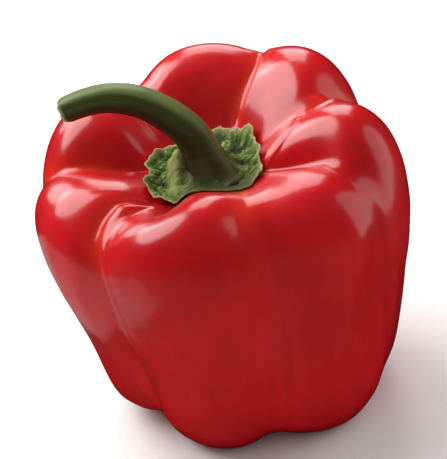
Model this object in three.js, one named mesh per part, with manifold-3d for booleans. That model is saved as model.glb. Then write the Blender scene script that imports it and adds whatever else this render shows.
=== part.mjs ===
// A red bell pepper at life size, standing on the feet of its lobes with its stem on top.
// Millimetres, +Z up, with the origin under the middle of the whole pepper, where it stands.
// The fruit is a closed skin of seven lobes, blended around the axis at every height.
import * as THREE from 'three';
import { mergeVertices } from 'three/addons/utils/BufferGeometryUtils.js';
import Module from 'manifold-3d';

const wasm = await Module();
wasm.setup();

// Fruit: heights above the feet, and the middle of the hollow that the stem grows from
const waistHeight = 42;
const ankleHeight = 22.7;
const cavityFloor = 67;
const bottomDimple = 7;
const cavityCentre = new THREE.Vector2(-3.5, -0.5);

// Each lobe points to angle at the crest, turns by swing from there to the shoulder, and by drift from the
// shoulder to the foot. Shoulder, waist and ankle are its reach from the axis, crest and foot its heights,
// and drop how far its shoulder sits below the crest. Spread and dip are how fast reach and crest fall away
// beside it. The leans make one side fall faster, dipLean at the crest and shoulderLean at the shoulder.
const lobes = [
  { angle: 91, swing: 0, drift: 0, shoulder: 42.5, waist: 42, ankle: 34, crest: 83, drop: 12, foot: 2,
    spread: 22, spreadLean: -0.2, dip: 14.5, dipLean: -0.3, shoulderLean: 0.8 },
  { angle: 39, swing: 5, drift: 0, shoulder: 43, waist: 42, ankle: 34, crest: 82.8, drop: 8, foot: 0,
    spread: 25, spreadLean: 0.1, dip: 22, dipLean: 0.6, shoulderLean: -1 },
  { angle: -10, swing: -1, drift: 4.5, shoulder: 45, waist: 44.6, ankle: 40, crest: 79.7, drop: 9.6, foot: 2,
    spread: 28, spreadLean: 0, dip: 39, dipLean: -1.3, shoulderLean: 0 },
  { angle: 311, swing: 2, drift: -2, shoulder: 43.7, waist: 42.6, ankle: 41, crest: 72.5, drop: 6, foot: 0,
    spread: 24, spreadLean: 0.2, dip: 20, dipLean: 2, shoulderLean: 2 },
  { angle: 262, swing: -9, drift: 0.5, shoulder: 46.2, waist: 42.4, ankle: 37.4, crest: 75, drop: 6.7, foot: 0,
    spread: 23, spreadLean: 0.6, dip: 39, dipLean: -1.7, shoulderLean: 0.2 },
  { angle: 206, swing: -11, drift: -4, shoulder: 47, waist: 44.3, ankle: 36.8, crest: 71.5, drop: 5, foot: 8,
    spread: 24, spreadLean: 1.0, dip: 29, dipLean: 1.1, shoulderLean: 1.4 },
  { angle: 152, swing: 1, drift: -5, shoulder: 46.5, waist: 45.3, ankle: 34.2, crest: 78.5, drop: 8.5, foot: 0,
    spread: 26, spreadLean: -0.7, dip: 35, dipLean: 1.5, shoulderLean: 1.4 },
];

// Calyx: the green cap on the cavity floor, with a corner for each sepal and a collar under the stem
const calyxCentre = new THREE.Vector2(-3.7, -3.2);
const calyxCorners = [
  { angle: 41, reach: 15.6 },
  { angle: 73, reach: 15 },
  { angle: 125, reach: 12 },
  { angle: 169, reach: 14.6 },
  { angle: 235, reach: 18.8 },
  { angle: 267, reach: 20.2 },
  { angle: 298, reach: 18.8 },
  { angle: 352, reach: 14.2 },
];
const cornerSharpness = 9;
const calyxClearance = 0.5;
const collarRadius = 6.2;
const collarTop = 71.2;

// Stem: the centreline that it grew along, and its five ribs
const stemPath = [
  [-0.6, -8.4, 67.6], [-1.8, -7.6, 71.3], [-3.3, -6.6, 74.7], [-5.0, -5.7, 78.5], [-7.8, -4.9, 82.2],
  [-12.4, -4.2, 86.4], [-16.9, -3.8, 89.4], [-23.1, -3.5, 91.3], [-28.7, -3.3, 91.3], [-36.4, -3.2, 89.4],
];
const stemFootRadius = 6.2;
const stemNeckRadius = 4.6;
const stemTipRadius = 3.3;
const stemTipRounding = 1.4;
const ribCount = 5;
const ribHeight = 0.06;
const stemClearance = 0.3;

// Fineness of the surfaces
const fruitAround = 84;
const fruitStepsPerSpan = 2;
const calyxAround = 48;
const stemAround = 20;
const stemSteps = 24;

const radians = THREE.MathUtils.degToRad;
const turn = 2 * Math.PI;

// A smooth maximum of one value for each lobe, rounded where two lobes meet
function smoothUnion(values, blend) {
  const highest = Math.max(...values);
  const sum = values.reduce((total, value) => total + Math.exp((value - highest) / blend), 0);
  return highest + blend * Math.log(sum);
}

// How much a bump that points to centre has fallen at theta
function fallOff(theta, centre, steepness, lean = 0) {
  const away = theta - centre;
  return steepness * Math.exp(lean * Math.sin(away)) * 2 * (1 - Math.cos(away));
}

// Reach of the skin from the axis, as a share of each lobe's own reach at shoulder, waist or ankle
function reach(theta, place, share, steepness, blend, swung, drifted = 0) {
  const bumps = lobes.map((lobe) => {
    const centre = radians(lobe.angle + lobe.swing * swung + lobe.drift * drifted);
    return lobe[place] * share - fallOff(theta, centre, lobe.spread * steepness, lobe.spreadLean);
  });
  return smoothUnion(bumps, blend);
}

// Height of the lobes' tops, or of the skin at a share of the way down to the shoulder
function topHeight(theta, dropShare, steepness, blend, swung) {
  const bumps = lobes.map((lobe) => {
    const top = lobe.crest - lobe.drop * dropShare;
    const centre = radians(lobe.angle + lobe.swing * swung);
    const lean = THREE.MathUtils.lerp(lobe.dipLean, lobe.shoulderLean, swung);
    return top - fallOff(theta, centre, lobe.dip * steepness, lean);
  });
  return smoothUnion(bumps, blend);
}

// Height of the feet, with a notch between two of them
function footHeight(theta, rise, steepness) {
  const bumps = lobes.map((lobe) => {
    const centre = radians(lobe.angle + lobe.swing + lobe.drift);
    return -(lobe.foot + rise) - fallOff(theta, centre, lobe.spread * steepness, lobe.spreadLean);
  });
  return -smoothUnion(bumps, 1);
}

// Control points of the skin at one direction, from the cavity's middle over the crest to the dimple below.
// Each is a distance, a height, and the share of the cavity's offset from the axis that it takes.
function skinControls(theta) {
  const crest = topHeight(theta, 0, 1, 1, 0);
  const depth = crest - cavityFloor;
  return [
    [0, cavityFloor, 1],
    [7, cavityFloor, 1],
    [13, cavityFloor + 0.06 * depth, 0.9],
    [reach(theta, 'shoulder', 0.39, 0.25, 0.8, 0), cavityFloor + 0.50 * depth, 0.85],
    [reach(theta, 'shoulder', 0.50, 0.30, 0.8, 0), cavityFloor + 0.86 * depth, 0.4],
    [reach(theta, 'shoulder', 0.63, 0.49, 0.7, 0), crest + 1.5, 0],
    [reach(theta, 'shoulder', 0.84, 0.58, 0.65, 1), topHeight(theta, 0, 1, 0.35, 1) + 1.5, 0],
    [reach(theta, 'shoulder', 1.02, 1.0, 1.5, 1), topHeight(theta, 1, 0.8, 1.25, 1), 0],
    [reach(theta, 'shoulder', 1.03, 0.9, 2.0, 1, 0.1), topHeight(theta, 2.9, 0.3, 2, 1), 0],
    [reach(theta, 'waist', 1.02, 0.6, 3.0, 1, 0.4), waistHeight, 0],
    [reach(theta, 'ankle', 1.06, 0.55, 2.5, 1, 0.7), ankleHeight, 0],
    [reach(theta, 'ankle', 1.00, 0.8, 1.6, 1, 0.9), footHeight(theta, 8, 0), 0],
    [reach(theta, 'ankle', 0.82, 0.9, 1.2, 1, 1), footHeight(theta, -1.8, 0.5), 0],
    [reach(theta, 'ankle', 0.55, 0.8, 1.0, 1, 1), footHeight(theta, -0.5, 0.6), 0],
    [reach(theta, 'ankle', 0.33, 0.4, 1.0, 1, 1), footHeight(theta, 4, 0.3), 0],
    [5, bottomDimple, 0],
    [0, bottomDimple, 0],
  ];
}

// The same points in space, with one more beyond each end so that the curve starts and ends on its pole
function placedControls(theta) {
  const points = skinControls(theta).map(([distance, height, pull]) => new THREE.Vector3(
    distance * Math.cos(theta) + pull * cavityCentre.x,
    distance * Math.sin(theta) + pull * cavityCentre.y,
    height,
  ));
  const before = mirrored(points[1], points[0]);
  const after = mirrored(points.at(-2), points.at(-1));
  return [before, ...points, after];
}

// A point on the other side of a pole, at the same height
function mirrored(point, pole) {
  return new THREE.Vector3(2 * pole.x - point.x, 2 * pole.y - point.y, point.z);
}

// A point of a uniform cubic B-spline, at a share of one of its spans
function splinePoint(controls, span, share) {
  const rest = 1 - share;
  const weights = [
    rest ** 3,
    3 * share ** 3 - 6 * share ** 2 + 4,
    -3 * share ** 3 + 3 * share ** 2 + 3 * share + 1,
    share ** 3,
  ];
  const point = new THREE.Vector3();
  weights.forEach((weight, i) => point.addScaledVector(controls[span + i], weight / 6));
  return point;
}

// All points of the skin at one direction, pole to pole
function skinLine(theta, stepsPerSpan) {
  const controls = placedControls(theta);
  const spans = controls.length - 3;
  const line = [];
  for (let step = 0; step <= spans * stepsPerSpan; step += 1) {
    const span = Math.min(Math.floor(step / stepsPerSpan), spans - 1);
    line.push(splinePoint(controls, span, step / stepsPerSpan - span));
  }
  return line;
}

// Closes a stack of rings with a pole at each end. Seen from outside the first pole, the rings run
// anticlockwise, so that all faces point outwards.
function skinOver(firstPole, rings, lastPole) {
  const around = rings[0].length;
  const points = [firstPole, ...rings.flat(), lastPole];
  const last = points.length - 1;
  const triangles = [];
  for (let j = 0; j < around; j += 1) {
    const next = (j + 1) % around;
    triangles.push(0, 1 + j, 1 + next);
    for (let k = 0; k < rings.length - 1; k += 1) {
      const inner = 1 + k * around;
      const outer = inner + around;
      triangles.push(inner + j, outer + j, outer + next);
      triangles.push(inner + j, outer + next, inner + next);
    }
    triangles.push(last - around + j, last, last - around + next);
  }
  const geometry = new THREE.BufferGeometry();
  geometry.setAttribute('position', new THREE.Float32BufferAttribute(points.flatMap((p) => p.toArray()), 3));
  geometry.setIndex(triangles);
  return geometry;
}

function toSolid(geometry) {
  const bare = geometry.clone();
  bare.deleteAttribute('normal');
  bare.deleteAttribute('uv');
  const merged = mergeVertices(bare);
  return new wasm.Manifold(new wasm.Mesh({
    numProp: 3,
    vertProperties: merged.attributes.position.array,
    triVerts: new Uint32Array(merged.index.array),
  }));
}

// Cuts away everything below a level, which leaves a flat face there
function trimBelow(geometry, level) {
  const slabSize = 300;
  const slab = new THREE.BoxGeometry(slabSize, slabSize, slabSize);
  slab.translate(0, 0, level - slabSize / 2);
  const cut = toSolid(geometry).subtract(toSolid(slab)).getMesh();
  const trimmed = new THREE.BufferGeometry();
  trimmed.setAttribute('position', new THREE.Float32BufferAttribute(cut.vertProperties, 3));
  trimmed.setIndex(Array.from(cut.triVerts));
  return trimmed;
}

// The fruit, trimmed where its feet press on what it stands on
function makeFruit() {
  const lines = [];
  for (let j = 0; j < fruitAround; j += 1) {
    lines.push(skinLine(turn * j / fruitAround, fruitStepsPerSpan));
  }
  const ringCount = lines[0].length;
  const rings = [];
  for (let k = 1; k < ringCount - 1; k += 1) {
    rings.push(lines.map((line) => line[k]));
  }
  const skin = skinOver(lines[0][0], rings, lines[0].at(-1));
  const material = new THREE.MeshStandardMaterial({ color: 0xc4232b, roughness: 0.2, metalness: 0 });
  return named('fruit', trimBelow(skin, 0), material);
}

// Height of the cavity's wall at a spot seen from above
function cavityHeight(spot) {
  const stepsPerSpan = 12;
  const fromMiddle = spot.clone().sub(cavityCentre);
  const distance = fromMiddle.length();
  const line = skinLine(fromMiddle.angle(), stepsPerSpan);
  const found = line.find((p) => Math.hypot(p.x - cavityCentre.x, p.y - cavityCentre.y) >= distance);
  return found.z;
}

// Reach of the calyx: a point for each sepal and a shallow bay between two
function calyxReach(theta) {
  const bumps = calyxCorners.map((corner) => corner.reach
    - fallOff(theta, radians(corner.angle), cornerSharpness));
  return smoothUnion(bumps, 1);
}

// The calyx lies along the cavity's wall below, and rises to the collar in its middle
function makeCalyx() {
  const stemFoot = new THREE.Vector2(stemPath[1][0], stemPath[1][1]);
  const directions = Array.from({ length: calyxAround }, (_, j) => turn * j / calyxAround);
  const around = (centre, radiusAt, heightAt) => directions.map((theta) => {
    const radius = radiusAt(theta);
    const spot = new THREE.Vector2(centre.x + radius * Math.cos(theta), centre.y + radius * Math.sin(theta));
    return new THREE.Vector3(spot.x, spot.y, heightAt(spot));
  });
  const collar = (radius, height) => around(stemFoot, () => radius, () => height);
  const leaf = (share, thickness) => around(
    calyxCentre,
    (theta) => share * calyxReach(theta),
    (spot) => cavityHeight(spot) + calyxClearance + thickness,
  );
  const rings = [
    collar(collarRadius, collarTop),
    collar(collarRadius + 0.8, collarTop - 1.2),
    leaf(0.72, 2.2),
    leaf(0.86, 1.9),
    leaf(0.97, 1.8),
    leaf(1.0, 1.4),
    leaf(1.0, 0.5),
    leaf(0.9, 0),
    leaf(0.7, 0),
    leaf(0.4, 0),
  ];
  const top = new THREE.Vector3(stemFoot.x, stemFoot.y, collarTop);
  const underside = new THREE.Vector3(calyxCentre.x, calyxCentre.y, cavityFloor + calyxClearance);
  const material = new THREE.MeshStandardMaterial({ color: 0x5c8a37, roughness: 0.55, metalness: 0 });
  return named('calyx', skinOver(top, rings, underside), material);
}

// Radius of the stem at a share of its length: wide at the foot, then a slow taper to the rounded tip
function stemRadius(share, length) {
  const flare = (stemFootRadius - stemNeckRadius) * Math.exp(-share * 9);
  const taper = THREE.MathUtils.lerp(stemNeckRadius, stemTipRadius, share);
  const fromTip = (1 - share) * length;
  const rounding = Math.max(0, 1 - fromTip / stemTipRounding);
  return (flare + taper) * (0.45 + 0.55 * Math.sqrt(1 - rounding ** 2));
}

// The ribbed stem, swept along its curve and cut level above the collar
function makeStem() {
  const path = new THREE.CatmullRomCurve3(stemPath.map((p) => new THREE.Vector3(...p)), false, 'centripetal');
  const length = path.getLength();
  const shares = Array.from({ length: stemSteps + 1 }, (_, k) => k / stemSteps);
  shares.splice(stemSteps, 0, 1 - stemTipRounding / 3 / length);
  const sideways = new THREE.Vector3(0, 1, 0);
  const rings = shares.map((share) => {
    const centre = path.getPointAt(share);
    const upward = new THREE.Vector3().crossVectors(sideways, path.getTangentAt(share)).normalize();
    const radius = stemRadius(share, length);
    return Array.from({ length: stemAround }, (_, j) => {
      const angle = turn * j / stemAround;
      const ribbed = radius * (1 + ribHeight * Math.cos(ribCount * angle));
      return centre.clone()
        .addScaledVector(upward, ribbed * Math.cos(angle))
        .addScaledVector(sideways, -ribbed * Math.sin(angle));
    });
  });
  const skin = skinOver(path.getPointAt(0), rings, path.getPointAt(1));
  const material = new THREE.MeshStandardMaterial({ color: 0x5a7a35, roughness: 0.5, metalness: 0 });
  return named('stem', trimBelow(skin, collarTop + stemClearance), material);
}

function named(name, geometry, material) {
  const mesh = new THREE.Mesh(geometry, material);
  mesh.name = name;
  return mesh;
}

const pepper = new THREE.Group();
pepper.add(makeFruit(), makeCalyx(), makeStem());

// The origin goes under the middle of everything, on the level of the feet
const box = new THREE.Box3().setFromObject(pepper);
const middle = box.getCenter(new THREE.Vector3());
pepper.position.set(-middle.x, -middle.y, -box.min.z);

export default pepper;
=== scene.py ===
import bpy
import math
import numpy as np
from mathutils import Matrix, Vector, noise
from mathutils.bvhtree import BVHTree


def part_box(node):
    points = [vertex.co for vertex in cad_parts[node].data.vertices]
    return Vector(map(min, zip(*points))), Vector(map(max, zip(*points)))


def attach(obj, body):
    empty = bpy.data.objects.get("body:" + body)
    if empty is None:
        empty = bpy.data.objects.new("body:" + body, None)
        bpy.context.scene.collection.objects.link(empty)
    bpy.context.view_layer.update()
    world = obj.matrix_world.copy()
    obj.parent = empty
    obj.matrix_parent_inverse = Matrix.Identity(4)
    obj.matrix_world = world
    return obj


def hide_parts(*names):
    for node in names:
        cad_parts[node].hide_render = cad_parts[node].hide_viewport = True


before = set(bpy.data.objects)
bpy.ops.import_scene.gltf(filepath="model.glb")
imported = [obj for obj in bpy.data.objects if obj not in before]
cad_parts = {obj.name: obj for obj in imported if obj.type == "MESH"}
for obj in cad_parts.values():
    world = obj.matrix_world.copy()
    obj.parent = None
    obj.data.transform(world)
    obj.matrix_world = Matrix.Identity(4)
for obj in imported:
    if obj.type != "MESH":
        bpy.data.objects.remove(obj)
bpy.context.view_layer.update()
print("frame loaded, nodes:", sorted(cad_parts))

# Sizes are in millimetres and angles in degrees, until a mesh is made in metres
mm = 0.001


def linearColour(hexText):
    # sRGB hex to the linear colour that the shader works in
    parts = [int(hexText[i:i + 2], 16) / 255 for i in (1, 3, 5)]
    linear = [c / 12.92 if c <= 0.04045 else ((c + 0.055) / 1.055) ** 2.4 for c in parts]
    return (*linear, 1)


def perMm(size):
    # a texture's scale from the size of its pattern, in millimetres
    return 1 / (size * mm)


def addNode(tree, kind, settings=None, inputs=None):
    node = tree.nodes.new(kind)
    for name, value in (settings or {}).items():
        setattr(node, name, value)
    for key, value in (inputs or {}).items():
        if isinstance(value, bpy.types.NodeSocket):
            tree.links.new(value, node.inputs[key])
        else:
            node.inputs[key].default_value = value
    return node


def startMaterial(name, values):
    # a material with these values set on its Principled shader
    material = bpy.data.materials.new(name)
    material.use_nodes = True
    tree = material.node_tree
    shader = tree.nodes["Principled BSDF"]
    for key, value in values.items():
        shader.inputs[key].default_value = value
    return material, tree, shader


def ringFaces(ids):
    # quads between rows of point numbers, each row closed into a ring
    after = np.roll(ids, -1, axis=1)
    return np.stack([ids[:-1], ids[1:], after[1:], after[:-1]], axis=-1).reshape(-1, 4).tolist()


def meshFromRings(name, rings, firstPole, lastPole, offset, attributes):
    # closes a stack of rings with a pole at each end; an attribute holds one value for each ring point
    count, around = rings.shape[:2]
    points = np.vstack([[firstPole], rings.reshape(-1, 3), [lastPole]])
    ids = 1 + np.arange(count * around).reshape(count, around)
    after = np.roll(ids, -1, axis=1)
    last = len(points) - 1
    firstFan = [(0, int(a), int(b)) for a, b in zip(ids[0], after[0])]
    lastFan = [(int(a), last, int(b)) for a, b in zip(ids[-1], after[-1])]
    mesh = bpy.data.meshes.new(name)
    mesh.from_pydata(((points + offset) * mm).tolist(), [], ringFaces(ids) + firstFan + lastFan)
    for label, values in attributes.items():
        flat = np.concatenate([[values[0].mean()], values.reshape(-1), [values[-1].mean()]])
        layer = mesh.attributes.new(label, "FLOAT", "POINT")
        layer.data.foreach_set("value", flat.astype(np.float32))
    mesh.polygons.foreach_set("use_smooth", [True] * len(mesh.polygons))
    mesh.update()
    piece = bpy.data.objects.new(name, mesh)
    bpy.context.collection.objects.link(piece)
    return piece


def finishPiece(piece, node, material):
    piece.data.materials.clear()
    piece.data.materials.append(material)
    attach(piece, "root")
    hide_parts(node)
    print(node, "made,", len(piece.data.polygons), "faces")


# Camera: a long lens that looks down on the pepper from the front, with a slight roll
view = {
    "imageSize": (447, 459),
    "elevation": 34,
    "roll": -8,
    "distance": 480,
    "focalPixels": 1861.5,
    "target": (0, 0, 40),
    "targetPixels": (8.2, 22.2),   # where the target lies, right of and below the picture's middle
}


def makeCamera(offset):
    elevation, roll = math.radians(view["elevation"]), math.radians(view["roll"])
    back = Vector((0, -math.cos(elevation), math.sin(elevation)))
    level = Vector((1, 0, 0))
    steep = back.cross(level)
    right = math.cos(roll) * level + math.sin(roll) * steep
    up = -math.sin(roll) * level + math.cos(roll) * steep
    mmPerPixel = view["distance"] / view["focalPixels"]
    target = Vector(view["target"]) + Vector(offset)
    eye = target + back * view["distance"]
    aim = target + mmPerPixel * (view["targetPixels"][1] * up - view["targetPixels"][0] * right)
    back = (eye - aim).normalized()
    right = up.cross(back).normalized()
    up = back.cross(right)
    data = bpy.data.cameras.new("camera")
    sensor = 36
    data.sensor_width = sensor
    data.lens = view["focalPixels"] / max(view["imageSize"]) * sensor
    data.clip_start = 0.01
    data.clip_end = 50
    camera = bpy.data.objects.new("camera", data)
    bpy.context.collection.objects.link(camera)
    turn = Matrix((right, up, back)).transposed().to_4x4()
    camera.matrix_world = Matrix.Translation(eye * mm) @ turn
    bpy.context.scene.camera = camera


# Lights: azimuth 0 is the camera's side and 90 the right; size is the angle that a light fills, seen
# from the fruit. A round softbox stands high behind the left side, with a smaller one below it. The
# fills above and at the right only light: the skin doesn't reflect them.
lights = [
    dict(name="softboxRound", shape="ELLIPSE", azimuth=-121, elevation=50, size=(54, 48), radiance=5.4,
         reflected=True),
    dict(name="softboxLow", shape="ELLIPSE", azimuth=-143, elevation=25, size=(28, 34), radiance=3.4,
         reflected=True),
    dict(name="stripBehind", shape="RECTANGLE", azimuth=174, elevation=33, size=(24, 40), radiance=3.4,
         reflected=True),
    dict(name="cardRight", shape="ELLIPSE", azimuth=98, elevation=10, size=(36, 70), radiance=1.05,
         reflected=True),
    dict(name="fillAbove", shape="RECTANGLE", azimuth=60, elevation=80, size=(90, 90), radiance=0.35,
         reflected=False),
    dict(name="fillRight", shape="RECTANGLE", azimuth=105, elevation=22, size=(60, 50), radiance=0.6,
         reflected=False),
]
# A glow from the lit paper beside the pepper's left foot, which the lower skin mirrors
paperGlow = {"place": (-112, 0, 1.5), "size": (110, 150), "radiance": 0.3}
studio = {
    "lightDistance": 900,
    "lightTarget": (0, 0, 45),
    "floorSize": 6000,
    "floorColour": "#f4f3f1",
    "worldStrength": 0.26,
}


def makeLamp(name, shape, size, radiance):
    data = bpy.data.lights.new(name, "AREA")
    data.shape = shape
    data.size, data.size_y = size
    area = size[0] * size[1] * (math.pi / 4 if shape == "ELLIPSE" else 1)
    data.energy = radiance * math.pi * area
    lamp = bpy.data.objects.new(name, data)
    bpy.context.collection.objects.link(lamp)
    lamp.visible_camera = False
    return lamp


def makeLights():
    for light in lights:
        azimuth, elevation = math.radians(light["azimuth"]), math.radians(light["elevation"])
        towards = Vector((math.sin(azimuth) * math.cos(elevation),
                          -math.cos(azimuth) * math.cos(elevation),
                          math.sin(elevation)))
        distance = studio["lightDistance"] * mm
        size = [2 * distance * math.tan(math.radians(angle) / 2) for angle in light["size"]]
        lamp = makeLamp(light["name"], light["shape"], size, light["radiance"])
        lamp.location = Vector(studio["lightTarget"]) * mm + towards * distance
        lamp.rotation_euler = towards.to_track_quat("Z", "Y").to_euler()
        lamp.visible_glossy = light["reflected"]
    glowSize = [length * mm for length in paperGlow["size"]]
    glow = makeLamp("paperGlow", "RECTANGLE", glowSize, paperGlow["radiance"])
    glow.location = Vector(paperGlow["place"]) * mm
    glow.rotation_euler = (math.pi, 0, 0)      # faces up


def makeStudio():
    # matt seamless paper: pale, with no glare
    paper = startMaterial("seamlessPaper", {
        "Base Color": linearColour(studio["floorColour"]), "Roughness": 0.9, "Specular IOR Level": 0.2})[0]
    half = studio["floorSize"] * mm / 2
    corners = [(-half, -half, 0), (half, -half, 0), (half, half, 0), (-half, half, 0)]
    mesh = bpy.data.meshes.new("floor")
    mesh.from_pydata(corners, [], [(0, 1, 2, 3)])
    mesh.materials.append(paper)
    floor = bpy.data.objects.new("floor", mesh)
    bpy.context.collection.objects.link(floor)
    floor.visible_glossy = False     # or its glare washes out the glossy skin
    world = bpy.data.worlds.new("studio")
    bpy.context.scene.world = world
    world.use_nodes = True
    world.node_tree.nodes["Background"].inputs["Color"].default_value = (1, 1, 1, 1)
    world.node_tree.nodes["Background"].inputs["Strength"].default_value = studio["worldStrength"]
    world.cycles_visibility.glossy = False
    bpy.context.scene.view_settings.view_transform = "Standard"


# Fruit: a closed skin of seven lobes, blended around the axis at every height
fruit = {
    "waistHeight": 42,
    "ankleHeight": 22.7,
    "cavityFloor": 67,
    "bottomDimple": 7,
    "cavityCentre": (-3.5, -0.5),
    "around": 400,
    "stepsPerRow": 15,             # faces between two rows of control points
    "lumps": {"wavelength": 34, "height": 0.35, "seed": 4},
    "dents": {"wavelength": 12, "height": 0.05, "seed": 9},
    "flutes": {"counts": range(17, 44, 3), "height": 0.06, "seed": 5},
    # rows of control points, counted as for the furrows below
    "fluteRows": (5.5, 7.5, 10.5, 12),     # the flutes start, are full, fade and end
    "smoothRows": (0.5, 2),                # the cavity's middle stays smooth, then the relief is full
    "warmRows": (6.5, 8.5),                # furrows are warm red up here, and less so on the body
    "bodyWarmth": 0.25,
}

# A lobe points to angle at the crest, and turns by swing to the shoulder and by drift to the foot. Spread
# and dip are how fast its reach and its crest fall away beside it, and the leans make one side fall faster.
lobes = [
    dict(angle=91, swing=0, drift=0, shoulder=42.5, waist=42, ankle=34, crest=83, drop=12, foot=2,
         spread=22, spreadLean=-0.2, dip=14.5, dipLean=-0.3, shoulderLean=0.8),
    dict(angle=39, swing=5, drift=0, shoulder=43, waist=42, ankle=34, crest=82.8, drop=8, foot=0,
         spread=25, spreadLean=0.1, dip=22, dipLean=0.6, shoulderLean=-1),
    dict(angle=-10, swing=-1, drift=4.5, shoulder=45, waist=44.6, ankle=40, crest=79.7, drop=9.6, foot=2,
         spread=28, spreadLean=0, dip=39, dipLean=-1.3, shoulderLean=0),
    dict(angle=311, swing=2, drift=-2, shoulder=43.7, waist=42.6, ankle=41, crest=72.5, drop=6, foot=0,
         spread=24, spreadLean=0.2, dip=20, dipLean=2, shoulderLean=2),
    dict(angle=262, swing=-9, drift=0.5, shoulder=46.2, waist=42.4, ankle=37.4, crest=75, drop=6.7, foot=0,
         spread=23, spreadLean=0.6, dip=39, dipLean=-1.7, shoulderLean=0.2),
    dict(angle=206, swing=-11, drift=-4, shoulder=47, waist=44.3, ankle=36.8, crest=71.5, drop=5, foot=8,
         spread=24, spreadLean=1.0, dip=29, dipLean=1.1, shoulderLean=1.4),
    dict(angle=152, swing=1, drift=-5, shoulder=46.5, waist=45.3, ankle=34.2, crest=78.5, drop=8.5, foot=0,
         spread=26, spreadLean=-0.7, dip=35, dipLean=1.5, shoulderLean=1.4),
]

# Furrows between lobes. A route's points are a row of control points (0 is the cavity's middle, 5 the
# crest, 9 the waist) and a direction. A lip is a raised edge beside the furrow.
furrowStart = 0.9      # rows over which a furrow grows to its depth, and over which it fades
furrowEnd = 1.6
furrowWarmth = 1.2     # how far beside a furrow the skin is warmer
furrows = [
    dict(route=[(3.8, 230), (4.7, 219.5), (5.3, 214.5), (5.9, 214.5), (6.6, 216.5), (7.3, 222), (8.3, 224),
                (9.5, 223), (11, 222)],
         depth=0.9, width=1.6, lipAway=2.5, lipHeight=0.55, lipWidth=1.5),
    dict(route=[(9.0, 223), (10.4, 225), (12, 222), (14, 220)],
         depth=1.8, width=3.6, lipAway=0, lipHeight=0, lipWidth=1),
    dict(route=[(2.0, 53), (3.2, 56), (4.1, 58), (4.6, 60), (5.9, 63), (7.5, 67), (10.0, 68)],
         depth=0.7, width=1.1, lipAway=-1.8, lipHeight=0.15, lipWidth=0.8),
    dict(route=[(2.4, 333), (3.4, 348), (4.1, 361), (4.8, 365), (5.5, 372), (6.7, 378), (8, 380), (9.5, 386)],
         depth=1.1, width=1.2, lipAway=-2.0, lipHeight=0.55, lipWidth=0.9),
    dict(route=[(3.8, 286), (4.6, 283), (5.6, 278), (6.6, 280)],
         depth=0.45, width=3.0, lipAway=0, lipHeight=0, lipWidth=1),
    dict(route=[(3.0, 184), (5, 179), (6, 178), (7, 172), (8, 170), (9.5, 165), (11, 163)],
         depth=0.8, width=1.8, lipAway=0, lipHeight=0, lipWidth=1),
    dict(route=[(2.6, 133), (4, 132), (5, 131), (6, 128), (7, 120), (8, 118), (11, 118)],
         depth=0.8, width=1.6, lipAway=1.9, lipHeight=0.3, lipWidth=1.0),
]


def smoothUnion(values, blend):
    highest = values.max(axis=0)
    return highest + blend * np.log(np.exp((values - highest) / blend).sum(axis=0))


def fallOff(theta, centre, steepness, lean=0.0):
    away = theta - math.radians(centre)
    return steepness * np.exp(lean * np.sin(away)) * 2 * (1 - np.cos(away))


def reach(theta, place, share, steepness, blend, swung, drifted=0.0):
    # how far the skin reaches from the axis, from each lobe's own reach at shoulder, waist or ankle
    return smoothUnion(np.array([
        lobe[place] * share - fallOff(theta, lobe["angle"] + lobe["swing"] * swung + lobe["drift"] * drifted,
                                      lobe["spread"] * steepness, lobe["spreadLean"])
        for lobe in lobes]), blend)


def topHeight(theta, dropShare, steepness, blend, swung):
    return smoothUnion(np.array([
        lobe["crest"] - lobe["drop"] * dropShare
        - fallOff(theta, lobe["angle"] + lobe["swing"] * swung, lobe["dip"] * steepness,
                  lobe["dipLean"] + (lobe["shoulderLean"] - lobe["dipLean"]) * swung)
        for lobe in lobes]), blend)


def footHeight(theta, rise, steepness):
    return -smoothUnion(np.array([
        -(lobe["foot"] + rise) - fallOff(theta, lobe["angle"] + lobe["swing"] + lobe["drift"],
                                         lobe["spread"] * steepness, lobe["spreadLean"])
        for lobe in lobes]), 1.0)


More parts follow.
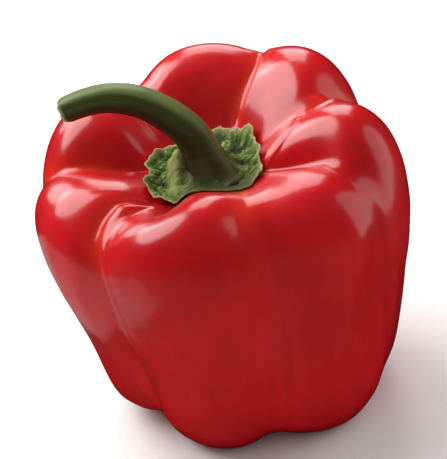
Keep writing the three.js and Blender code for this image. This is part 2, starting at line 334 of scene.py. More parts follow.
def skinControls(theta):
    # control points from the cavity's middle over the crest to the dimple below: distance, height,
    # and the share of the cavity's offset from the axis that the point takes
    floor = fruit["cavityFloor"]
    crest = topHeight(theta, 0, 1, 1, 0)
    depth = crest - floor
    rows = [
        (0, floor, 1),
        (7, floor, 1),
        (13, floor + 0.06 * depth, 0.9),
        (reach(theta, "shoulder", 0.39, 0.25, 0.8, 0), floor + 0.50 * depth, 0.85),
        (reach(theta, "shoulder", 0.50, 0.30, 0.8, 0), floor + 0.86 * depth, 0.4),
        (reach(theta, "shoulder", 0.63, 0.49, 0.7, 0), crest + 1.5, 0),
        (reach(theta, "shoulder", 0.84, 0.58, 0.65, 1), topHeight(theta, 0, 1, 0.35, 1) + 1.5, 0),
        (reach(theta, "shoulder", 1.02, 1.0, 1.5, 1), topHeight(theta, 1, 0.8, 1.25, 1), 0),
        (reach(theta, "shoulder", 1.03, 0.9, 2.0, 1, 0.1), topHeight(theta, 2.9, 0.3, 2, 1), 0),
        (reach(theta, "waist", 1.02, 0.6, 3.0, 1, 0.4), fruit["waistHeight"], 0),
        (reach(theta, "ankle", 1.06, 0.55, 2.5, 1, 0.7), fruit["ankleHeight"], 0),
        (reach(theta, "ankle", 1.00, 0.8, 1.6, 1, 0.9), footHeight(theta, 8, 0), 0),
        (reach(theta, "ankle", 0.82, 0.9, 1.2, 1, 1), footHeight(theta, -1.8, 0.5), 0),
        (reach(theta, "ankle", 0.55, 0.8, 1.0, 1, 1), footHeight(theta, -0.5, 0.6), 0),
        (reach(theta, "ankle", 0.33, 0.4, 1.0, 1, 1), footHeight(theta, 4, 0.3), 0),
        (5, fruit["bottomDimple"], 0),
        (0, fruit["bottomDimple"], 0),
    ]
    centreX, centreY = fruit["cavityCentre"]
    even = np.ones_like(theta)
    points = [np.stack([distance * np.cos(theta) + pull * centreX,
                        distance * np.sin(theta) + pull * centreY,
                        height * even], axis=-1) for distance, height, pull in rows]
    opposite = np.array([-1, -1, 1])     # mirrored in the pole, so that the curve meets it level
    before = points[1] * opposite + 2 * points[0] * (1, 1, 0)
    after = points[-2] * opposite + 2 * points[-1] * (1, 1, 0)
    return np.stack([before, *points, after])


def skinGrid(theta):
    # points of the uniform cubic B-spline in each direction, from pole to pole, and the row of each ring
    controls = skinControls(theta)
    spans = len(controls) - 3
    steps = np.arange(spans * fruit["stepsPerRow"] + 1)
    rings = []
    for step in steps:
        span = min(step // fruit["stepsPerRow"], spans - 1)
        share = step / fruit["stepsPerRow"] - span
        rest = 1 - share
        weights = (rest ** 3, 3 * share ** 3 - 6 * share ** 2 + 4,
                   -3 * share ** 3 + 3 * share ** 2 + 3 * share + 1, share ** 3)
        rings.append(sum(weight / 6 * controls[span + i] for i, weight in enumerate(weights)))
    return np.array(rings), steps / fruit["stepsPerRow"]


def gridNormals(grid):
    # unit normals of a closed grid of rings, which point outwards
    down = np.gradient(grid, axis=0)
    around = (np.roll(grid, -1, axis=1) - np.roll(grid, 1, axis=1)) / 2
    normals = np.cross(down, around)
    return normals / (np.linalg.norm(normals, axis=-1, keepdims=True) + 1e-12)


def ripples(points, wavelength, seed):
    # a smooth random swell from a few plane waves, between about -1 and 1
    random = np.random.default_rng(seed)
    waves = 9
    total = np.zeros(points.shape[:-1])
    for _ in range(waves):
        direction = random.normal(size=3)
        direction *= random.uniform(0.7, 1.3) / (np.linalg.norm(direction) * wavelength)
        total += np.sin(2 * math.pi * (points @ direction) + random.uniform(0, 2 * math.pi))
    return total / math.sqrt(waves)


def furrowPush(theta, rows, radius):
    # how far furrows and their lips move the skin, and how near a furrow each point is
    push, near = np.zeros(radius.shape), np.zeros(radius.shape)
    for furrow in furrows:
        routeRows, routeAngles = np.array(furrow["route"]).T
        bend = np.unwrap(np.radians(routeAngles))
        away = theta[None, :] - np.interp(rows, routeRows, bend)[:, None]
        away = (np.mod(away + math.pi, 2 * math.pi) - math.pi) * radius
        first, last = routeRows[0], routeRows[-1]
        fade = np.interp(rows, [first, first + furrowStart, last - furrowEnd, last], [0, 1, 1, 0])
        fade = (fade * fade * (3 - 2 * fade))[:, None]
        push -= fade * furrow["depth"] * np.exp(-np.abs(away / furrow["width"]) ** 1.5)
        push += fade * furrow["lipHeight"] * np.exp(-((away - furrow["lipAway"]) / furrow["lipWidth"]) ** 2)
        near = np.maximum(near, fade * np.exp(-(away / (furrow["width"] + furrowWarmth)) ** 2))
    return push, near


def makeFruitGrid():
    theta = np.linspace(0, 2 * math.pi, fruit["around"], endpoint=False)
    grid, rows = skinGrid(theta)
    normals = gridNormals(grid)
    radius = np.hypot(grid[..., 0], grid[..., 1])
    push, near = furrowPush(theta, rows, radius)
    for swell in (fruit["lumps"], fruit["dents"]):
        push += swell["height"] * ripples(grid, swell["wavelength"], swell["seed"])
    random = np.random.default_rng(fruit["flutes"]["seed"])
    flutes = sum(random.normal() * np.cos(count * theta + random.uniform(0, 2 * math.pi))
                 for count in fruit["flutes"]["counts"])
    onBody = np.interp(rows, fruit["fluteRows"], [0, 1, 1, 0])[:, None]
    push += fruit["flutes"]["height"] / 2 * flutes * onBody
    grid = grid + normals * (push * np.interp(rows, fruit["smoothRows"], [0, 1])[:, None])[..., None]
    grid[0] = grid[0].mean(axis=0)
    grid[-1] = grid[-1].mean(axis=0)
    grid[..., 2] = np.maximum(grid[..., 2], 0)     # the feet press flat on what they stand on
    return grid, near, rows


def skinMaterial():
    # waxy fruit skin: a smooth clear wax over deep red flesh, with soft-edged highlights, faint streaks
    # from top to bottom, and a warmer orange red along the furrows, stronger in the cavity and over the crest
    # than on the body
    material, tree, shader = startMaterial("waxyPepperSkin", {
        "IOR": 1.45, "Specular IOR Level": 0.1,
        "Subsurface Weight": 0.15, "Subsurface Radius": (1.0, 0.12, 0.06), "Subsurface Scale": 3 * mm,
        "Coat Weight": 1.0, "Coat Roughness": 0.18, "Coat IOR": 1.5})
    place = addNode(tree, "ShaderNodeTexCoord").outputs["Object"]
    clouds = addNode(tree, "ShaderNodeTexNoise", {}, {
        "Vector": place, "Scale": perMm(26), "Detail": 2.0})
    upright = addNode(tree, "ShaderNodeMapping", {}, {"Vector": place, "Scale": (1, 1, 0.12)})
    streaks = addNode(tree, "ShaderNodeTexNoise", {}, {
        "Vector": upright.outputs["Vector"], "Scale": perMm(3.4), "Detail": 4.0, "Roughness": 0.6})
    cloudTone = addNode(tree, "ShaderNodeMapRange", {}, {
        "Value": clouds.outputs["Fac"], "From Min": 0.35, "From Max": 0.65, "To Min": 0.0, "To Max": 1.0})
    reds = addNode(tree, "ShaderNodeMix", {"data_type": "RGBA"}, {
        0: cloudTone.outputs["Result"], 6: linearColour("#b50e14"), 7: linearColour("#c91219")})
    streakTone = addNode(tree, "ShaderNodeMapRange", {}, {
        "Value": streaks.outputs["Fac"], "From Min": 0.4, "From Max": 0.75, "To Min": 0.0, "To Max": 0.42})
    streaked = addNode(tree, "ShaderNodeMix", {"data_type": "RGBA"}, {
        0: streakTone.outputs["Result"], 6: reds.outputs[2], 7: linearColour("#9c0a10")})
    furrow = addNode(tree, "ShaderNodeAttribute", {"attribute_name": "furrow"})
    warmth = addNode(tree, "ShaderNodeMath", {"operation": "MULTIPLY"}, {0: furrow.outputs["Fac"], 1: 0.6})
    warmed = addNode(tree, "ShaderNodeMix", {"data_type": "RGBA"}, {
        0: warmth.outputs[0], 6: streaked.outputs[2], 7: linearColour("#d8321a")})
    tree.links.new(warmed.outputs[2], shader.inputs["Base Color"])
    sheen = addNode(tree, "ShaderNodeMapRange", {}, {
        "Value": streaks.outputs["Fac"], "From Min": 0.3, "From Max": 0.7, "To Min": 0.3, "To Max": 0.42})
    tree.links.new(sheen.outputs["Result"], shader.inputs["Roughness"])
    peel = addNode(tree, "ShaderNodeTexNoise", {}, {
        "Vector": upright.outputs["Vector"], "Scale": perMm(1.1), "Detail": 2.0})
    relief = addNode(tree, "ShaderNodeBump", {}, {
        "Height": peel.outputs["Fac"], "Strength": 0.35, "Distance": 0.03 * mm})
    tree.links.new(relief.outputs["Normal"], shader.inputs["Normal"])
    tree.links.new(relief.outputs["Normal"], shader.inputs["Coat Normal"])
    return material


# Calyx: the crinkled cap of sepals that lies in the cavity, around the stem's foot
calyx = {
    "centre": (-3.7, -3.2),
    # direction and reach of each sepal's corner
    "corners": [(41, 15.6), (73, 15), (125, 12), (169, 14.6), (235, 18.8), (267, 20.2), (298, 18.8),
                (352, 14.2)],
    "cornerSharpness": 9,
    # direction and half width of the front, where the leaf lies flat and smooth against the crest and is
    # painted dark as shade
    "front": (281, 37),
    "around": 400,
    "ringsAcross": 70,
    "clearance": 0.4,
    "thickness": 1.0,
    "edgeThickness": 0.45,
    "edgeRise": 1.5,
    "hubHeight": 3.4,
    # shares of the way out: the hub and the ribs end, and the edge starts to curl up
    "hubReach": 0.5,
    "ribReach": 0.72,
    "riseStart": 0.72,
    "smoothWithin": 6.4,           # distances from the stem's middle
    "brownShadeWithin": 9.2,
    # direction from the stem's foot, height and half width of each rib that runs out of the foot
    "ribs": [(152, 0.8, 1.2), (248, 1.3, 1.4), (285, 1.0, 1.4), (330, 1.9, 1.6), (10, 1.5, 1.5),
             (55, 1.8, 1.5), (110, 1.3, 1.4)],
    # the thick rib left of the stem, painted pale like the other ribs, partly a pale tint and partly a
    # painted highlight: where it starts and ends, its height and half width
    "pillar": {"start": (-10.2, -1.6), "end": (-11.2, -13.5), "height": 3.6, "width": 2.0},
    "foldSize": 2.9,
    "foldHeight": 1.2,
    "crinkleSize": 1.25,
    "crinkleHeight": 0.55,
    "seed": 5,
}


def calyxReach(theta):
    corners = smoothUnion(np.array([reachOut - fallOff(theta, angle, calyx["cornerSharpness"])
                                    for angle, reachOut in calyx["corners"]]), 0.6)
    teeth = 0.24 * np.sin(11 * theta + 0.7) + 0.18 * np.sin(19 * theta + 2.1) + 0.12 * np.sin(37 * theta)
    return corners + teeth


def leafFolds(x, y, size, level):
    # crumpled leaf: rounded blisters between narrow pits, warped so that no two are alike, and about
    # -0.5 to 0.5; the level picks another pattern
    warp = noise.noise_vector(Vector((x / size * 0.45, y / size * 0.45, level))) * 0.9
    spot = Vector((x / size, y / size, level)) + warp
    cells = noise.voronoi(spot, distance_metric="DISTANCE")[0]
    swell = noise.noise(spot * 0.8 + Vector((0, 0, 9)))
    return min(1, (cells[1] - cells[0]) * 2.0) - 0.5 + 0.5 * swell


def pillarHeight(x, y):
    pillar = calyx["pillar"]
    start, end, spot = Vector(pillar["start"]), Vector(pillar["end"]), Vector((x, y))
    share = min(1, max(0, (spot - start).dot(end - start) / (end - start).length_squared))
    away = (spot - start.lerp(end, share)).length / pillar["width"]
    return pillar["height"] * (1 - 0.5 * share) * math.exp(-away ** 2)


def turnFrom(angle, direction):
    # the shorter way round from a direction in degrees, in radians
    return math.remainder(angle - math.radians(direction), 2 * math.pi)


def makeCalyx(grid, offset):
    noise.seed_set(calyx["seed"])     # unset, noise_vector differs in each run
    topRings = grid[:len(grid) // 2]
    ids = np.arange(topRings.shape[0] * topRings.shape[1]).reshape(topRings.shape[:2])
    wall = BVHTree.FromPolygons(topRings.reshape(-1, 3).tolist(), ringFaces(ids))
    above, down = 90, Vector((0, 0, -1))
    theta = np.linspace(0, 2 * math.pi, calyx["around"], endpoint=False)
    edge = calyxReach(theta)
    frontAt, frontWidth = calyx["front"]
    fronts = np.array([math.exp(-(turnFrom(angle, frontAt) / math.radians(frontWidth)) ** 4)
                       for angle in theta])
    centre, foot = np.array(calyx["centre"]), np.array(stem["path"][1][:2])
    shares = np.linspace(0.1, 1, calyx["ringsAcross"]) ** 0.85
    tops, unders, pitShades, ribs, edges, hubTintsAndShades = [], [], [], [], [], []
    for share in shares:
        middle = foot + (centre - foot) * min(1, share * 1.3)
        top, under = np.zeros((len(theta), 3)), np.zeros((len(theta), 3))
        pitShade, ribbed, hubTintAndShade = np.zeros(len(theta)), np.zeros(len(theta)), np.zeros(len(theta))
        for j, angle in enumerate(theta):
            x = middle[0] + share * edge[j] * math.cos(angle)
            y = middle[1] + share * edge[j] * math.sin(angle)
            front = fronts[j]
            clearance = calyx["clearance"] * (1 - 0.8 * front)
            floor = wall.ray_cast(Vector((x, y, above)), down)[0].z + clearance
            fromStem = math.hypot(x - foot[0], y - foot[1])
            hub = calyx["hubHeight"] * math.exp(-(share / calyx["hubReach"]) ** 4)
            rib = sum(height * math.exp(-(turnFrom(angle, direction) * share * edge[j] / width) ** 2)
                      for direction, height, width in calyx["ribs"])
            rib *= math.exp(-(share / calyx["ribReach"]) ** 4)
            rib += pillarHeight(x, y)
            wave = 0.5 + 0.5 * math.sin(5 * angle + 1.0) * math.sin(8 * angle)
            curl = max(0, (share - calyx["riseStart"]) / (1 - calyx["riseStart"])) ** 1.8
            rise = calyx["edgeRise"] * (0.6 + wave) * (1 - front) * curl
            fold = leafFolds(x, y, calyx["foldSize"], 1.7)
            crinkle = leafFolds(x, y, calyx["crinkleSize"], 6.3)
            relief = calyx["foldHeight"] * fold + calyx["crinkleHeight"] * crinkle
            rough = min(1, max(0, (fromStem - calyx["smoothWithin"]) / 3)) * (1 - 0.75 * front)
            relief *= rough * (1 - 0.55 * share ** 8) / (1 + 0.8 * rib)
            thick = calyx["thickness"] * (1 - share ** 6) + calyx["edgeThickness"] * share ** 6
            top[j] = (x, y, floor + rise + max(thick * 0.5, thick + hub + rib + relief))
            under[j] = (x, y, floor + rise)
            # painted shade: the pits, low between the folds and crinkles, are painted nearly black
            pitShade[j] = min(1, max(0, 0.42 - 1.3 * fold - 0.8 * crinkle - 0.6 * rib))
            pitShade[j] *= (1 - share ** 12) * rough
            # the ribs are painted paler by their height, partly a pale tint and partly a painted highlight
            ribbed[j] = min(1, rib / 2.4)
            # dark olive brown near the stalk, partly a brown tint and partly painted shade where the leaf
            # meets the stalk, and painted shade along the front, where the leaf meets the crest
            hubTintAndShade[j] = max(math.exp(-(fromStem / calyx["brownShadeWithin"]) ** 6), front)
        tops.append(top)
        unders.append(under)
        pitShades.append(pitShade)
        ribs.append(ribbed)
        edges.append(share ** 34 * (1 - 0.85 * fronts))
        hubTintsAndShades.append(hubTintAndShade)
    rings = np.array(tops + unders[::-1])
    attributes = {label: np.array(values + values[::-1])
                  for label, values in (("edge", edges), ("pitShade", pitShades), ("rib", ribs), ("hub", hubTintsAndShades))}
    return meshFromRings("calyxCap", rings, rings[0].mean(axis=0), rings[-1].mean(axis=0), offset, attributes)


def sepalMaterial():
    # fresh crinkled leaf: satin green, yellower in random patches, with painted shade nearly black in its
    # pits, ribs painted paler, partly a pale tint and partly a painted highlight, a brownish middle where it
    # meets the stalk that is partly painted shade, painted shade along the front where it meets the crest,
    # and a thin dry tan edge
    material, tree, shader = startMaterial("crinkledSepal", {
        "IOR": 1.4, "Roughness": 0.6, "Specular IOR Level": 0.25,
        "Subsurface Weight": 0.12, "Subsurface Radius": (0.5, 1.0, 0.2), "Subsurface Scale": 1.2 * mm})
    place = addNode(tree, "ShaderNodeTexCoord").outputs["Object"]
    patches = addNode(tree, "ShaderNodeTexNoise", {}, {
        "Vector": place, "Scale": perMm(2.6), "Detail": 5.0, "Roughness": 0.65})
    tone = addNode(tree, "ShaderNodeMapRange", {}, {
        "Value": patches.outputs["Fac"], "From Min": 0.35, "From Max": 0.65, "To Min": 0.0, "To Max": 1.0})
    greens = addNode(tree, "ShaderNodeMix", {"data_type": "RGBA"}, {
        0: tone.outputs["Result"], 6: linearColour("#426121"), 7: linearColour("#7c9242")})
    # painted shade: nearly black in the pits
    pitShade = addNode(tree, "ShaderNodeAttribute", {"attribute_name": "pitShade"})
    shaded = addNode(tree, "ShaderNodeMix", {"data_type": "RGBA"}, {
        0: pitShade.outputs["Fac"], 6: greens.outputs[2], 7: linearColour("#16270b")})
    # ribs paler, partly a pale tint and partly a painted highlight
    rib = addNode(tree, "ShaderNodeAttribute", {"attribute_name": "rib"})
    ribbed = addNode(tree, "ShaderNodeMix", {"data_type": "RGBA"}, {
        0: rib.outputs["Fac"], 6: shaded.outputs[2], 7: linearColour("#a5ab5e")})
    # near the stalk partly a brown tint and partly painted shade; along the front painted shade
    hub = addNode(tree, "ShaderNodeAttribute", {"attribute_name": "hub"})
    hubTintAndShadeShare = addNode(tree, "ShaderNodeMath", {"operation": "MULTIPLY"}, {0: hub.outputs["Fac"], 1: 0.92})
    joined = addNode(tree, "ShaderNodeMix", {"data_type": "RGBA"}, {
        0: hubTintAndShadeShare.outputs[0], 6: ribbed.outputs[2], 7: linearColour("#373815")})
    edge = addNode(tree, "ShaderNodeAttribute", {"attribute_name": "edge"})
    edged = addNode(tree, "ShaderNodeMix", {"data_type": "RGBA"}, {
        0: edge.outputs["Fac"], 6: joined.outputs[2], 7: linearColour("#b8a878")})
    tree.links.new(edged.outputs[2], shader.inputs["Base Color"])
    veins = addNode(tree, "ShaderNodeTexNoise", {}, {
        "Vector": place, "Scale": perMm(0.7), "Detail": 4.0})
    relief = addNode(tree, "ShaderNodeBump", {}, {
        "Height": veins.outputs["Fac"], "Strength": 0.8, "Distance": 0.25 * mm})
    tree.links.new(relief.outputs["Normal"], shader.inputs["Normal"])
    return material


# Stem: a ribbed stalk swept along the centreline that it grew along
stem = {
    "path": [(-2.2, -9.6, 67.6), (-2.8, -8.4, 71.3), (-3.8, -6.9, 74.7), (-5.2, -5.7, 78.5),
             (-7.8, -4.9, 82.2), (-12.4, -4.2, 86.4), (-16.9, -3.8, 89.4), (-23.1, -3.5, 91.3),
             (-28.7, -3.3, 91.3), (-36.4, -3.2, 89.4)],
    "neckRadius": 4.75,
    "tipRadius": 3.15,
    "footFlare": 3.8,
    "flareLength": 3.6,
    "tipRounding": 2.2,
    "ribs": 5,
    "ribHeight": 0.16,
    "buttressLength": 0.22,        # share of the length over which the ribs grow towards the foot
    "buttressGrowth": 4.5,
    "fibres": 40,
    "fibreHeight": 0.006,
    "lumpSize": 7,
    "lumpHeight": 0.45,
    "lengthSteps": 320,
    "aroundSteps": 220,
}


def stemTree():
    # inputs are in metres; the tree stores how far along and how far around each point is, and how much
    # it faces up or to the outside of the bend, which the stalk's material turns into painted light and shade
    tree = bpy.data.node_groups.new("stemSweep", "GeometryNodeTree")
    tree.interface.new_socket("Geometry", in_out="INPUT", socket_type="NodeSocketGeometry")
    for name, kind in (("Length steps", "Int"), ("Around steps", "Int"), ("Neck radius", "Float"),
                       ("Tip radius", "Float"), ("Foot flare", "Float"), ("Flare length", "Float"),
                       ("Tip rounding", "Float"), ("Ribs", "Int"), ("Rib height", "Float"),
                       ("Fibres", "Int"), ("Fibre height", "Float"), ("Lump height", "Float"),
                       ("Material", "Material")):
        tree.interface.new_socket(name, in_out="INPUT", socket_type="NodeSocket" + kind)
    tree.interface.new_socket("Geometry", in_out="OUTPUT", socket_type="NodeSocketGeometry")
    given = addNode(tree, "NodeGroupInput").outputs
    path = addNode(tree, "GeometryNodeResampleCurve", {}, {
        "Curve": given["Geometry"], "Count": given["Length steps"]}).outputs[0]
    spot = addNode(tree, "GeometryNodeSplineParameter").outputs
    total = addNode(tree, "GeometryNodeSplineLength").outputs["Length"]

    # radius: a slow taper, a flare at the foot and a rounded tip
    taper = addNode(tree, "ShaderNodeMapRange", {}, {
        "Value": spot["Factor"], "To Min": given["Neck radius"], "To Max": given["Tip radius"]}).outputs[0]
    inFlares = addNode(tree, "ShaderNodeMath", {"operation": "DIVIDE"}, {
        0: spot["Length"], 1: given["Flare length"]}).outputs[0]
    decay = addNode(tree, "ShaderNodeMath", {"operation": "MULTIPLY"}, {0: inFlares, 1: -1.0}).outputs[0]
    fade = addNode(tree, "ShaderNodeMath", {"operation": "EXPONENT"}, {0: decay}).outputs[0]
    flared = addNode(tree, "ShaderNodeMath", {"operation": "MULTIPLY_ADD"}, {
        0: fade, 1: given["Foot flare"], 2: taper}).outputs[0]
    fromTip = addNode(tree, "ShaderNodeMath", {"operation": "SUBTRACT"}, {
        0: total, 1: spot["Length"]}).outputs[0]
    inRoundings = addNode(tree, "ShaderNodeMath", {"operation": "DIVIDE"}, {
        0: fromTip, 1: given["Tip rounding"]}).outputs[0]
    nearTip = addNode(tree, "ShaderNodeMath", {"operation": "SUBTRACT", "use_clamp": True}, {
        0: 1.0, 1: inRoundings}).outputs[0]
    square = addNode(tree, "ShaderNodeMath", {"operation": "POWER"}, {0: nearTip, 1: 2.2}).outputs[0]
    inside = addNode(tree, "ShaderNodeMath", {"operation": "SUBTRACT", "use_clamp": True}, {
        0: 1.0, 1: square}).outputs[0]
    arc = addNode(tree, "ShaderNodeMath", {"operation": "SQRT"}, {0: inside}).outputs[0]
    rounding = addNode(tree, "ShaderNodeMath", {"operation": "MULTIPLY_ADD"}, {
        0: arc, 1: 0.45, 2: 0.55}).outputs[0]
    radius = addNode(tree, "ShaderNodeMath", {"operation": "MULTIPLY"}, {0: flared, 1: rounding}).outputs[0]

    # sweep, with both places stored before the curves turn into a mesh
    path = addNode(tree, "GeometryNodeStoreNamedAttribute", {"data_type": "FLOAT", "domain": "POINT"}, {
        "Geometry": path, "Name": "along", "Value": spot["Factor"]}).outputs[0]
    section = addNode(tree, "GeometryNodeCurvePrimitiveCircle", {}, {
        "Resolution": given["Around steps"], "Radius": 1.0}).outputs[0]
    aroundSpot = addNode(tree, "GeometryNodeSplineParameter").outputs["Factor"]
    section = addNode(tree, "GeometryNodeStoreNamedAttribute", {"data_type": "FLOAT", "domain": "POINT"}, {
        "Geometry": section, "Name": "around", "Value": aroundSpot}).outputs[0]
    body = addNode(tree, "GeometryNodeCurveToMesh", {}, {
        "Curve": path, "Profile Curve": section, "Scale": radius, "Fill Caps": True}).outputs[0]

    # ribs, which grow into buttresses at the foot, fine fibres and slow lumps
    along, around = [addNode(tree, "GeometryNodeInputNamedAttribute", {"data_type": "FLOAT"}, {
        "Name": name}).outputs[0] for name in ("along", "around")]
    angle = addNode(tree, "ShaderNodeMath", {"operation": "MULTIPLY"}, {0: around, 1: 2 * math.pi}).outputs[0]
    ribAngle = addNode(tree, "ShaderNodeMath", {"operation": "MULTIPLY"}, {
        0: angle, 1: given["Ribs"]}).outputs[0]
    ribWave = addNode(tree, "ShaderNodeMath", {"operation": "COSINE"}, {0: ribAngle}).outputs[0]
    fromFoot = addNode(tree, "ShaderNodeMapRange", {"interpolation_type": "SMOOTHSTEP"}, {
        "Value": along, "From Max": stem["buttressLength"],
        "To Min": stem["buttressGrowth"], "To Max": 1.0}).outputs[0]
    ribSize = addNode(tree, "ShaderNodeMath", {"operation": "MULTIPLY"}, {
        0: given["Rib height"], 1: fromFoot}).outputs[0]
    place = addNode(tree, "GeometryNodeInputPosition").outputs[0]
    wobble = addNode(tree, "ShaderNodeTexNoise", {}, {
        "Vector": place, "Scale": perMm(stem["lumpSize"]), "Detail": 2.0}).outputs["Fac"]
    fibreStart = addNode(tree, "ShaderNodeMath", {"operation": "MULTIPLY"}, {0: wobble, 1: 5.0}).outputs[0]
    fibreAngle = addNode(tree, "ShaderNodeMath", {"operation": "MULTIPLY_ADD"}, {
        0: angle, 1: given["Fibres"], 2: fibreStart}).outputs[0]
    fibreWave = addNode(tree, "ShaderNodeMath", {"operation": "SINE"}, {0: fibreAngle}).outputs[0]
    lump = addNode(tree, "ShaderNodeMath", {"operation": "SUBTRACT"}, {0: wobble, 1: 0.5}).outputs[0]
    push = addNode(tree, "ShaderNodeMath", {"operation": "MULTIPLY"}, {0: ribWave, 1: ribSize}).outputs[0]
    push = addNode(tree, "ShaderNodeMath", {"operation": "MULTIPLY_ADD"}, {
        0: fibreWave, 1: given["Fibre height"], 2: push}).outputs[0]
    push = addNode(tree, "ShaderNodeMath", {"operation": "MULTIPLY_ADD"}, {
        0: lump, 1: given["Lump height"], 2: push}).outputs[0]
    normal = addNode(tree, "GeometryNodeInputNormal").outputs[0]
    offset = addNode(tree, "ShaderNodeVectorMath", {"operation": "SCALE"}, {
        0: normal, "Scale": push}).outputs[0]
    body = addNode(tree, "GeometryNodeSetPosition", {}, {"Geometry": body, "Offset": offset}).outputs[0]
    paintedLightSide = (0.6, 0, 1)      # up, and to the outside of the bend: the side painted lighter, as if lit from there
    paintedLightFacing = addNode(tree, "ShaderNodeVectorMath", {"operation": "DOT_PRODUCT"}, {
        0: normal, 1: paintedLightSide}).outputs["Value"]
    body = addNode(tree, "GeometryNodeStoreNamedAttribute", {"data_type": "FLOAT", "domain": "POINT"}, {
        "Geometry": body, "Name": "paintedLightFacing", "Value": paintedLightFacing}).outputs[0]
    body = addNode(tree, "GeometryNodeSetShadeSmooth", {}, {"Geometry": body}).outputs[0]
    body = addNode(tree, "GeometryNodeRealizeInstances", {}, {"Geometry": body}).outputs[0]
    body = addNode(tree, "GeometryNodeSetMaterial", {}, {
        "Geometry": body, "Material": given["Material"]}).outputs[0]
    addNode(tree, "NodeGroupOutput", {}, {0: body})
    return tree


def makeStem(offset, material):
    curve = bpy.data.curves.new("stemPath", "CURVE")
    curve.dimensions = "3D"
    spline = curve.splines.new("BEZIER")
    spline.bezier_points.add(len(stem["path"]) - 1)
    for point, place in zip(spline.bezier_points, stem["path"]):
        point.co = (Vector(place) + Vector(offset)) * mm
        point.handle_left_type = "AUTO"
        point.handle_right_type = "AUTO"
    spline.resolution_u = 32
    carrier = bpy.data.objects.new("stemCarrier", curve)
    bpy.context.collection.objects.link(carrier)
    tree = stemTree()
    modifier = carrier.modifiers.new("stemSweep", "NODES")
    modifier.node_group = tree
    values = {"Length steps": stem["lengthSteps"], "Around steps": stem["aroundSteps"],
              "Neck radius": stem["neckRadius"] * mm, "Tip radius": stem["tipRadius"] * mm,
              "Foot flare": stem["footFlare"] * mm, "Flare length": stem["flareLength"] * mm,
              "Tip rounding": stem["tipRounding"] * mm, "Ribs": stem["ribs"],
              "Rib height": stem["ribHeight"] * mm, "Fibres": stem["fibres"],
              "Fibre height": stem["fibreHeight"] * mm, "Lump height": stem["lumpHeight"] * mm,
              "Material": material}
    for item in tree.interface.items_tree:
        if item.in_out == "INPUT" and item.name in values:
            modifier[item.identifier] = values[item.name]
    evaluated = carrier.evaluated_get(bpy.context.evaluated_depsgraph_get())
    mesh = bpy.data.meshes.new_from_object(evaluated)
    mesh.name = "stemStalk"
    bpy.data.objects.remove(carrier)
    piece = bpy.data.objects.new("stemStalk", mesh)
    bpy.context.collection.objects.link(piece)
    return piece


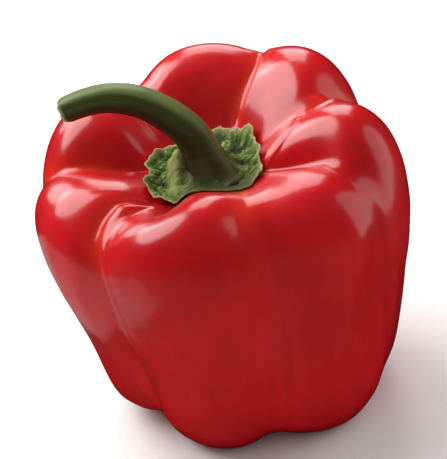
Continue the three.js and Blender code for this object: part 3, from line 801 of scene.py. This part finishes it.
def stalkMaterial():
    # young woody stalk: satin dark green with a painted highlight along its top, painted shade below over an
    # olive brown tint, olive brown at the foot, fine pale fibres along it, and a dry pale end with brown
    # spots
    material, tree, shader = startMaterial("fibrousStalk", {
        "IOR": 1.4, "Roughness": 0.42, "Specular IOR Level": 0.4,
        "Subsurface Weight": 0.05, "Subsurface Radius": (0.6, 1.0, 0.3), "Subsurface Scale": 1 * mm})
    paintedLightFacing = addNode(tree, "ShaderNodeAttribute", {"attribute_name": "paintedLightFacing"}).outputs["Fac"]
    along = addNode(tree, "ShaderNodeAttribute", {"attribute_name": "along"}).outputs["Fac"]
    around = addNode(tree, "ShaderNodeAttribute", {"attribute_name": "around"}).outputs["Fac"]
    angle = addNode(tree, "ShaderNodeMath", {"operation": "MULTIPLY"}, {0: around, 1: 2 * math.pi}).outputs[0]
    across = addNode(tree, "ShaderNodeMath", {"operation": "COSINE"}, {0: angle}).outputs[0]
    beside = addNode(tree, "ShaderNodeMath", {"operation": "SINE"}, {0: angle}).outputs[0]
    onStalk = addNode(tree, "ShaderNodeCombineXYZ", {}, {"X": across, "Y": beside, "Z": along}).outputs[0]
    stretched = addNode(tree, "ShaderNodeMapping", {}, {"Vector": onStalk, "Scale": (9, 9, 5)}).outputs[0]
    fibres = addNode(tree, "ShaderNodeTexNoise", {}, {
        "Vector": stretched, "Scale": 1.6, "Detail": 5.0, "Roughness": 0.7}).outputs["Fac"]
    tilt = addNode(tree, "ShaderNodeMath", {"operation": "MULTIPLY_ADD"}, {
        0: fibres, 1: 0.5, 2: -0.25}).outputs[0]
    paler = addNode(tree, "ShaderNodeMapRange", {"interpolation_type": "SMOOTHSTEP"}, {
        "Value": along, "From Min": 0.6, "From Max": 0.98, "To Min": 0.0, "To Max": 0.22}).outputs[0]
    tilt = addNode(tree, "ShaderNodeMath", {"operation": "ADD"}, {0: tilt, 1: paler}).outputs[0]
    # painted light and shade: lighter where the stalk faces up and out, darker where it faces down, over an
    # olive brown tint below
    level = addNode(tree, "ShaderNodeMath", {"operation": "ADD"}, {0: paintedLightFacing, 1: tilt}).outputs[0]
    share = addNode(tree, "ShaderNodeMapRange", {}, {
        "Value": level, "From Min": -0.75, "From Max": 0.95, "To Min": 0.0, "To Max": 1.0}).outputs[0]
    paintedLightAndTint = addNode(tree, "ShaderNodeValToRGB", {}, {"Fac": share})
    ramp = paintedLightAndTint.color_ramp
    ramp.elements[0].color = linearColour("#2a2410")
    ramp.elements[1].color = linearColour("#5e6c3a")
    for position, tone in ((0.35, "#30290f"), (0.6, "#363717"), (0.76, "#444d20"), (0.88, "#56652d")):
        ramp.elements.new(position).color = linearColour(tone)
    footShare = addNode(tree, "ShaderNodeMapRange", {"interpolation_type": "SMOOTHSTEP"}, {
        "Value": along, "From Min": 0.12, "From Max": 0.5, "To Min": 0.75, "To Max": 0.0}).outputs[0]
    browned = addNode(tree, "ShaderNodeMix", {"data_type": "RGBA"}, {
        0: footShare, 6: paintedLightAndTint.outputs["Color"], 7: linearColour("#352b12")})
    tipShare = addNode(tree, "ShaderNodeMapRange", {"interpolation_type": "SMOOTHSTEP"}, {
        "Value": along, "From Min": 0.965, "From Max": 1.0, "To Min": 0.0, "To Max": 0.85}).outputs[0]
    dried = addNode(tree, "ShaderNodeMix", {"data_type": "RGBA"}, {
        0: tipShare, 6: browned.outputs[2], 7: linearColour("#a3a478")})
    place = addNode(tree, "ShaderNodeTexCoord").outputs["Object"]
    decay = addNode(tree, "ShaderNodeTexNoise", {}, {
        "Vector": place, "Scale": perMm(2.6), "Detail": 3.0}).outputs["Fac"]
    spots = addNode(tree, "ShaderNodeMapRange", {"interpolation_type": "SMOOTHSTEP"}, {
        "Value": decay, "From Min": 0.5, "From Max": 0.62, "To Min": 0.0, "To Max": 1.0}).outputs[0]
    spotShare = addNode(tree, "ShaderNodeMath", {"operation": "MULTIPLY"}, {0: spots, 1: tipShare}).outputs[0]
    spotted = addNode(tree, "ShaderNodeMix", {"data_type": "RGBA"}, {
        0: spotShare, 6: dried.outputs[2], 7: linearColour("#4a2f16")})
    tree.links.new(spotted.outputs[2], shader.inputs["Base Color"])
    grain = addNode(tree, "ShaderNodeTexNoise", {}, {
        "Vector": stretched, "Scale": 3.0, "Detail": 4.0, "Roughness": 0.7}).outputs["Fac"]
    relief = addNode(tree, "ShaderNodeBump", {}, {"Height": grain, "Strength": 0.5, "Distance": 0.08 * mm})
    tree.links.new(relief.outputs["Normal"], shader.inputs["Normal"])
    return material


grid, furrowNear, rows = makeFruitGrid()
low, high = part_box("fruit")
ownMiddle = (grid.reshape(-1, 3).min(axis=0) + grid.reshape(-1, 3).max(axis=0)) / 2
cadMiddle = (low + high) / 2 / mm
offset = np.array([cadMiddle.x - ownMiddle[0], cadMiddle.y - ownMiddle[1], 0])
print("offset to the frame in mm:", offset.round(3))

makeCamera(offset)
makeLights()
makeStudio()
print("camera, lights and floor made")

inCavity = np.interp(rows, fruit["warmRows"], [1, fruit["bodyWarmth"]])[:, None]
skin = meshFromRings("fruitSkin", grid[1:-1], grid[0, 0], grid[-1, 0], offset,
                     {"furrow": (furrowNear * inCavity)[1:-1]})
finishPiece(skin, "fruit", skinMaterial())
finishPiece(makeCalyx(grid, offset), "calyx", sepalMaterial())
stalkFinish = stalkMaterial()
finishPiece(makeStem(offset, stalkFinish), "stem", stalkFinish)
